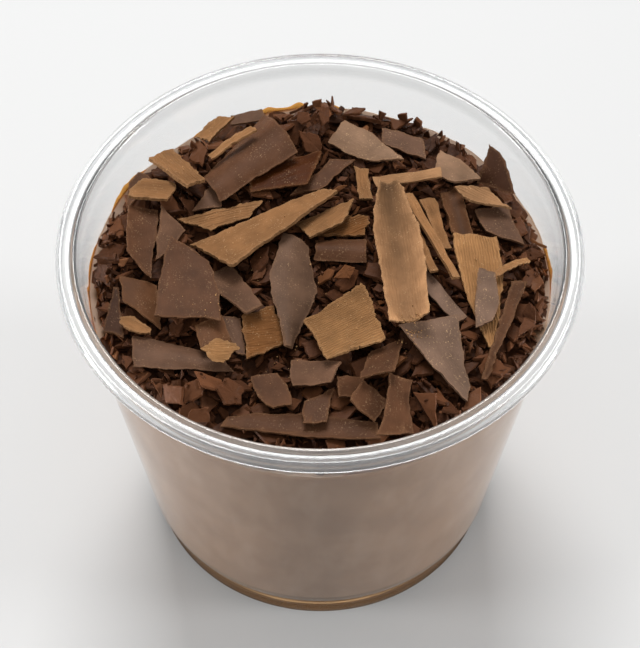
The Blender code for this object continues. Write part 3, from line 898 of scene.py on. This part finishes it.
class Pile:
    """Height maps of the heap as it grows, and of the shavings' undersides above it."""

    def __init__(self, shavings):
        middles = (np.arange(int(2 * MAP_REACH / CELL)) + 0.5) * CELL - MAP_REACH
        x, y = np.meshgrid(middles, middles)
        self.x, self.y = x, y
        self.height = core_height(x.ravel(), y.ravel()).reshape(x.shape)
        self.target = wanted_level(x.ravel(), y.ravel()).reshape(x.shape)
        self.ceiling = np.full(x.shape, 70.0)
        self.roof = np.full(x.shape, 0.0)
        for points in shavings:
            cells = cells_of(points[:, 0], points[:, 1])
            np.minimum.at(self.ceiling, cells, points[:, 2])
            np.maximum.at(self.roof, cells, points[:, 2])
        self.ceiling = neighbours(self.ceiling, np.min)
        nearby = self.roof
        for _ in range(GAP_REACH):
            nearby = neighbours(nearby, np.max)
        self.target -= GAP_DEPTH * (nearby > 0)

    def window(self, x, y, reach):
        """The rows and columns of the maps within reach of a place."""
        row, column = cell_of(x, y)
        half = max(1, int(reach / CELL))
        return slice(row - half, row + half + 1), slice(column - half, column + half + 1)

    def lay(self, x, y, length, width, thick, yaw, lean):
        """Where a chip comes to rest: its rotation and centre, or None if it doesn't fit."""
        win = self.window(x, y, length * 0.55)
        dx, dy = self.x[win] - x, self.y[win] - y
        u = dx * math.cos(yaw) + dy * math.sin(yaw)
        v = dy * math.cos(yaw) - dx * math.sin(yaw)
        under = (2 * u / length) ** 2 + (2 * v / width) ** 2 < 1.0
        if under.sum() < 2:
            return None
        ground = self.height[win][under]
        system = np.column_stack([np.ones(ground.size), dx[under], dy[under]])
        fit = np.linalg.lstsq(system, ground, rcond=None)[0]
        slope = np.clip(fit[1:], -0.9, 0.9) + lean
        plane = slope[0] * dx[under] + slope[1] * dy[under]
        level = np.percentile(ground - plane, 72) + thick * 0.5
        top = level + plane + thick * 0.5
        if np.any(top > self.ceiling[win][under] - 0.05):
            return None
        grown = self.height[win]
        grown[under] = np.maximum(grown[under], top)
        self.height[win] = grown
        return turn_matrix(yaw, slope), np.array([x, y, level])


def fill(pile, heap, templates, dice, tries, sizes, flat, tone_of):
    """Drops chips where the heap is still low, until the tries are used.

    sizes: the shortest, longest and commonest length. flat: the spread of their slopes.
    """
    for _ in range(tries):
        radius = PILE_RADIUS * math.sqrt(dice.random())
        angle = dice.uniform(0.0, math.tau)
        length = dice.triangular(*sizes)
        radius = min(radius, PILE_RADIUS + 0.7 - 0.5 * length)
        x, y = radius * math.cos(angle), radius * math.sin(angle)
        cell = cell_of(x, y)
        if pile.height[cell] > pile.target[cell] + dice.uniform(-0.5, 0.5):
            continue
        template, aspect, thick = dice.choice(templates)
        lean = np.array([dice.gauss(0.0, flat), dice.gauss(0.0, flat)])
        yaw = dice.uniform(0.0, math.tau)
        rest = pile.lay(x, y, length, length / aspect, thick * length, yaw, lean)
        if rest is not None:
            heap.put(template, length, *rest, tone_of(dice))


# Families of chips: how many templates, the ranges of aspect, thickness and corners, the
# points along each edge, the raggedness, and the range of bend.
FAMILIES = {
    "flake": (26, (1.1, 2.2), (0.08, 0.20), (3, 5), 3, 0.03, (-0.06, 0.08)),
    "plate": (24, (1.0, 1.8), (0.07, 0.12), (3, 5), 4, 0.035, (-0.05, 0.05)),
    "splinter": (18, (2.6, 5.0), (0.10, 0.18), (4, 4), 2, 0.04, (-0.08, 0.10)),
    "crumb": (12, (1.0, 1.6), (0.45, 0.75), (4, 6), 1, 0.05, (0.0, 0.0)),
}


def chip_kinds(dice):
    """Families of templates, each (template, aspect, thickness)."""
    kinds = {}
    for kind, (count, aspects, thicks, corners, per_edge, jag, bends) in FAMILIES.items():
        kinds[kind] = []
        for _ in range(count):
            aspect, thick = dice.uniform(*aspects), dice.uniform(*thicks)
            corner_count = corners[0] if corners[0] == corners[1] else dice.randint(*corners)
            bend = dice.uniform(*bends) if bends[0] < bends[1] else 0.0
            shape = chip_template(dice, corner_count, per_edge, aspect, thick, jag, bend)
            kinds[kind].append((shape, aspect, thick))
    return kinds


# Loose shards that show among the larger shavings: x, y, heading, length, aspect and tone.
SHARDS = (
    (-31.0, 5.0, -50, 4.2, 1.3, 0.45), (-19.0, 23.0, -55, 3.8, 1.1, 0.05),
    (-30.8, -5.5, -75, 6.0, 3.4, 0.60), (-10.0, -1.0, -80, 4.4, 1.4, 0.40),
    (0.0, -2.5, -115, 3.8, 1.4, 0.70), (-2.0, -14.0, -70, 3.4, 1.2, 0.60),
    (23.0, 19.5, -60, 2.8, 1.5, 0.40), (0.5, 27.5, -95, 3.8, 1.5, 0.35),
    (-2.5, 26.0, -30, 3.4, 1.4, 0.30), (16.0, 20.0, -105, 3.0, 1.2, 0.35),
    (-20.0, 12.0, 15, 3.6, 1.7, 0.45), (3.5, -2.0, 25, 3.8, 1.6, 0.95),
    (29.5, 1.5, 80, 3.4, 1.5, 0.50), (31.0, -3.0, 60, 3.0, 1.6, 0.85),
    (2.5, 29.5, 10, 3.0, 1.4, 0.40), (-6.5, 29.5, 40, 3.2, 1.8, 0.30),
)

# Slivers that stand up at the edge of the pile: x, y, height and lean.
SLIVERS = (
    (9.5, 30.0, 2.8, 0.10), (15.2, 28.4, 2.2, 0.20), (18.6, 26.4, 2.0, 0.15),
    (2.0, 31.0, 1.8, 0.30), (-2.2, 31.2, 1.8, -0.25), (-7.5, 30.4, 1.8, 0.35),
    (-30.6, 9.5, 2.2, 0.4), (21.5, 23.6, 2.0, 0.1), (29.0, 13.0, 2.2, 0.3),
    (12.2, 29.4, 1.8, -0.3), (-12.4, 29.0, 1.8, 0.4), (31.0, -7.5, 2.0, 0.4),
)


# Where golden crumbs gather: x, y, spread and count.
CRUMB_SPOTS = (
    (12.6, -13.4, 1.2, 80), (-15.5, -9.0, 1.6, 12), (-6.0, -15.5, 3.5, 20),
    (3.0, -8.0, 3.0, 16), (-9.0, 3.0, 3.0, 12), (-20.5, 16.0, 2.0, 12), (20.0, 2.0, 2.5, 16),
)
DARK_CRUMBS = 300
# Random slivers on end round the edge of the pile: how many, and between which radii.
EDGE_SLIVERS = 110
EDGE_RADII = (28.5, 32.4)
# How much of a sliver on end is sunk in the heap.
SUNK = 0.8
# The loosest chips lie in two more layers, each this much higher.
LAYER = 0.8


def brownish(dice):
    """A chip's tone: mostly dark, a few reddish."""
    roll = dice.random()
    if roll > 0.97:
        return dice.uniform(0.85, 1.0)
    return dice.random() ** 1.6 * 0.75


# Tones of the uppermost shards, lighter than the mostly dark ones in the layers below: painted light on
# the top of the heap.
def lit_brown(dice):
    return dice.uniform(0.45, 0.84)


def lay_shards(shards, pile, dice):
    for x, y, heading, length, aspect, tone in SHARDS:
        thick = dice.uniform(0.10, 0.16)
        corners, bend = dice.randint(4, 5), dice.uniform(-0.05, 0.05)
        shape = chip_template(dice, corners, 4, aspect, thick, 0.03, bend)
        lean = np.array([dice.gauss(0.0, 0.15), dice.gauss(0.0, 0.15)])
        yaw = math.radians(heading)
        rest = pile.lay(x, y, length, length / aspect, thick * length, yaw, lean)
        if rest is not None:
            shards.put(shape, length, *rest, tone)


def place_upright(heap, template, pile, x, y, height, lean, dice, tone):
    """A sliver on end, with its foot in the heap and clear of the shavings."""
    row, column = cell_of(x, y)
    if pile.ceiling[row - 3:row + 4, column - 3:column + 4].min() < 69.0:
        return
    foot = pile.height[row, column] - SUNK
    yaw = dice.uniform(0.0, math.tau)
    sideways = math.sin(lean)
    ahead = np.array([sideways * math.cos(yaw), sideways * math.sin(yaw), math.cos(lean)])
    side = np.cross(ahead, [math.cos(yaw + 1.0), math.sin(yaw + 1.0), 0.3])
    side /= np.linalg.norm(side)
    rotation = np.stack([ahead, side, np.cross(ahead, side)], axis=1)
    length = height + SUNK
    centre = np.array([x, y, foot]) + ahead * length * 0.5
    inside = math.hypot(centre[0], centre[1]) <= 32.6 - 0.4 * abs(sideways) * length
    if inside and math.hypot(x, y) <= 32.9:
        heap.put(template, length, rotation, centre, tone)


def stand_slivers(flakes, templates, pile, dice):
    for x, y, height, lean in SLIVERS:
        template = dice.choice(templates)[0]
        place_upright(flakes, template, pile, x, y, height, lean, dice, 0.6)
    for _ in range(EDGE_SLIVERS):
        angle = dice.uniform(0.0, math.tau)
        radius = dice.uniform(*EDGE_RADII)
        x, y = radius * math.cos(angle), radius * math.sin(angle)
        template = dice.choice(templates)[0]
        height, lean, tone = dice.uniform(0.8, 1.8), dice.gauss(0.0, 0.8), brownish(dice)
        place_upright(flakes, template, pile, x, y, height, lean, dice, tone)


def scatter_crumbs(loose, dust, pile, templates, dice):
    """Dark crumbs in the gaps, and finer golden ones where the tan shavings have shed them."""
    surface = np.maximum(pile.height, neighbours(pile.roof, np.max) * (pile.roof > 0))
    spots = []
    for middle_x, middle_y, spread, count in CRUMB_SPOTS:
        for _ in range(count):
            x, y = dice.gauss(middle_x, spread), dice.gauss(middle_y, spread)
            spots.append((x, y, dust, dice.random(), dice.triangular(0.10, 0.30, 0.14)))
    for _ in range(DARK_CRUMBS):
        radius, angle = 32.0 * math.sqrt(dice.random()), dice.uniform(0.0, math.tau)
        x, y = radius * math.cos(angle), radius * math.sin(angle)
        spots.append((x, y, loose, brownish(dice), dice.triangular(0.3, 0.9, 0.5)))
    for x, y, heap, tone, size in spots:
        cell = cell_of(x, y)
        if heap is loose and pile.roof[cell] > 0:
            continue
        template, _, thick = dice.choice(templates)
        slope = np.array([dice.gauss(0.0, 0.3), dice.gauss(0.0, 0.3)])
        place = np.array([x, y, surface[cell] + 0.2 * thick * size])
        heap.put(template, size, turn_matrix(dice.uniform(0.0, math.tau), slope), place, tone)


def make_chips(shavings):
    dice = random.Random(4021)
    kinds = chip_kinds(dice)
    pile = Pile(shavings)
    dark = chip_material(
        "chip_surface", (0.026, 0.0085, 0.0032), (0.120, 0.045, 0.019), (0.17, 0.066, 0.024))
    make_core(dark)

    flakes, splinters = Heap("chip_flakes"), Heap("chip_splinters")
    fill(pile, splinters, kinds["splinter"], dice, 2400, (1.6, 5.0, 2.6), 0.35, brownish)
    fill(pile, flakes, kinds["flake"], dice, 2400, (1.0, 4.0, 2.0), 0.35, brownish)
    pile.target += LAYER
    fill(pile, flakes, kinds["plate"], dice, 2600, (3.4, 8.0, 5.0), 0.20, brownish)
    fill(pile, splinters, kinds["splinter"], dice, 300, (2.0, 6.0, 3.0), 0.30, brownish)
    pile.target += LAYER
    shards = Heap("loose_shards")
    fill(pile, shards, kinds["plate"], dice, 2600, (4.0, 9.0, 5.6), 0.13, lit_brown)
    lay_shards(shards, pile, dice)
    stand_slivers(flakes, kinds["flake"], pile, dice)
    crumbs, dust = Heap("crumbs"), Heap("gold_crumbs")
    scatter_crumbs(crumbs, dust, pile, kinds["crumb"], dice)

    for heap in (shards, flakes, splinters, crumbs):
        heap.build(dark, "chips")
    golden = chip_material(
        "gold_surface", (0.30, 0.15, 0.06), (0.50, 0.28, 0.12), (0.6, 0.36, 0.16))
    dust.build(golden, "chocolate_tan")


# ------------ stage, light and camera

# Half the floor's width, in metres.
FLOOR_REACH = 4.0


def add_floor():
    mesh = bpy.data.meshes.new("floor")
    corners = [(x * FLOOR_REACH, y * FLOOR_REACH, 0.0) for x, y in ((-1, -1), (1, -1), (1, 1), (-1, 1))]
    mesh.from_pydata(corners, [], [(0, 1, 2, 3)])
    floor = bpy.data.objects.new("floor", mesh)
    bpy.context.scene.collection.objects.link(floor)
    s = Shader("floor")
    surface = s.add("ShaderNodeBsdfPrincipled", {
        "Base Color": (0.585, 0.585, 0.582, 1.0), "Roughness": 0.6})
    mesh.materials.append(s.finish(surface.outputs[0]))


def add_lamp(name, place, size, power, aim=(0.0, 0.0, 0.04)):
    """A square lamp at a place in metres, turned to the middle of the cup."""
    light = bpy.data.lights.new(name, "AREA")
    light.shape = "SQUARE"
    light.size = size
    light.energy = power
    lamp = bpy.data.objects.new(name, light)
    lamp.location = place
    lamp.rotation_euler = (Vector(aim) - Vector(place)).to_track_quat("-Z", "Y").to_euler()
    bpy.context.scene.collection.objects.link(lamp)


# The studio's brightness as it lights matt things, and as it is seen and mirrored.
WORLD_LIGHT = 0.36
WORLD_SEEN = 0.80


def add_light():
    world = bpy.data.worlds.new("studio")
    world.use_nodes = True
    background = world.node_tree.nodes["Background"]
    background.inputs["Color"].default_value = (0.97, 0.985, 1.0, 1.0)
    path = world.node_tree.nodes.new("ShaderNodeLightPath")
    strength = world.node_tree.nodes.new("ShaderNodeMapRange")
    strength.inputs["To Min"].default_value = WORLD_SEEN
    strength.inputs["To Max"].default_value = WORLD_LIGHT
    world.node_tree.links.new(path.outputs["Is Diffuse Ray"], strength.inputs["Value"])
    world.node_tree.links.new(strength.outputs[0], background.inputs["Strength"])
    bpy.context.scene.world = world
    add_lamp("key", (-0.04, 0.39, 0.64), 0.32, 4.35)
    add_lamp("fill", (0.05, -0.25, 0.85), 0.6, 0.8)
    add_lamp("left", (-0.70, -0.08, 0.13), 0.2, 4.6)
    add_lamp("right", (0.70, -0.08, 0.13), 0.2, 4.4)


# The photo's view: metres and degrees from the aim point on the cup's axis, and millimetres.
CAMERA_DISTANCE = 0.2989
CAMERA_TILT = math.radians(53.53)
CAMERA_AIM = 0.0402
CAMERA_LENS = 111.1


def add_camera():
    data = bpy.data.cameras.new("camera")
    data.sensor_width = 36.0
    data.lens = CAMERA_LENS
    data.clip_start = 0.01
    camera = bpy.data.objects.new("camera", data)
    aim = Vector((0.0, 0.0, CAMERA_AIM))
    away = Vector((0.0, -math.cos(CAMERA_TILT), math.sin(CAMERA_TILT))) * CAMERA_DISTANCE
    camera.location = aim + away
    camera.rotation_euler = (-away).to_track_quat("-Z", "Y").to_euler()
    bpy.context.scene.collection.objects.link(camera)
    bpy.context.scene.camera = camera


def main():
    scene = bpy.context.scene
    scene.view_settings.view_transform = "Standard"
    add_floor()
    add_light()
    add_camera()
    make_cup()
    make_mousse()
    make_smears()
    shavings = [refine(name) for name, slot in SLOTS.items() if slot.startswith("chocolate_")]
    make_chips(shavings)


main()
